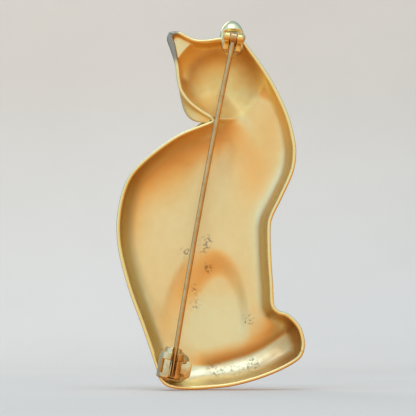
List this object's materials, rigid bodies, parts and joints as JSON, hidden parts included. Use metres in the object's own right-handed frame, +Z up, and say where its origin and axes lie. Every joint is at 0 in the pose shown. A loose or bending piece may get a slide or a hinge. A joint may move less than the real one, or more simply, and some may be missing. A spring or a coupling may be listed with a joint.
{
  "type": "cat brooch",
  "caption": "Hollow cast gold-tone brooch in the shape of a sitting cat, with a hinged pin stem and a roll-over safety catch on its open back.",
  "frame": {"origin": "middle of the flat back rim plane, where the garment lies against the brooch", "axes": "+Z up as worn, +Y out of the open back towards the garment, face looking along -Y"},
  "size_m": [0.0353, 0.0127, 0.07],
  "materials": {
    "satin_gold": "satin plated",
    "polished_gold": "polished plated",
    "wire_gold": "polished",
    "solder": "worn",
    "green_enamel": "gloss",
    "black_enamel": "gloss",
    "rose_enamel": "gloss"
  },
  "bodies": {
    "brooch": {"cat_shell": "satin_gold", "eye_enamel_left": "green_enamel", "pupil_left": "black_enamel", "eye_enamel_right": "green_enamel", "pupil_right": "black_enamel", "nose_enamel": "rose_enamel", "joint_patch": "solder", "joint_bracket": "polished_gold", "joint_rivet": "polished_gold", "catch_patch": "solder", "catch_housing": "polished_gold"},
    "stem": {"pin_stem": "wire_gold"},
    "roller": {"catch_roller": "polished_gold"}
  },
  "joints": [
    {"name": "stem_hinge", "type": "hinge", "parent": "brooch", "child": "stem", "pos_m": [-0.0044, 0.00205, 0.031], "axis": [0.9839, 0, 0.1788], "range_deg": [0, 105]},
    {"name": "catch_roll", "type": "hinge", "parent": "brooch", "child": "roller", "pos_m": [0.00728, 0.00205, -0.0305], "axis": [0.1788, 0, -0.9839], "range_deg": [0, 110]}
  ]
}
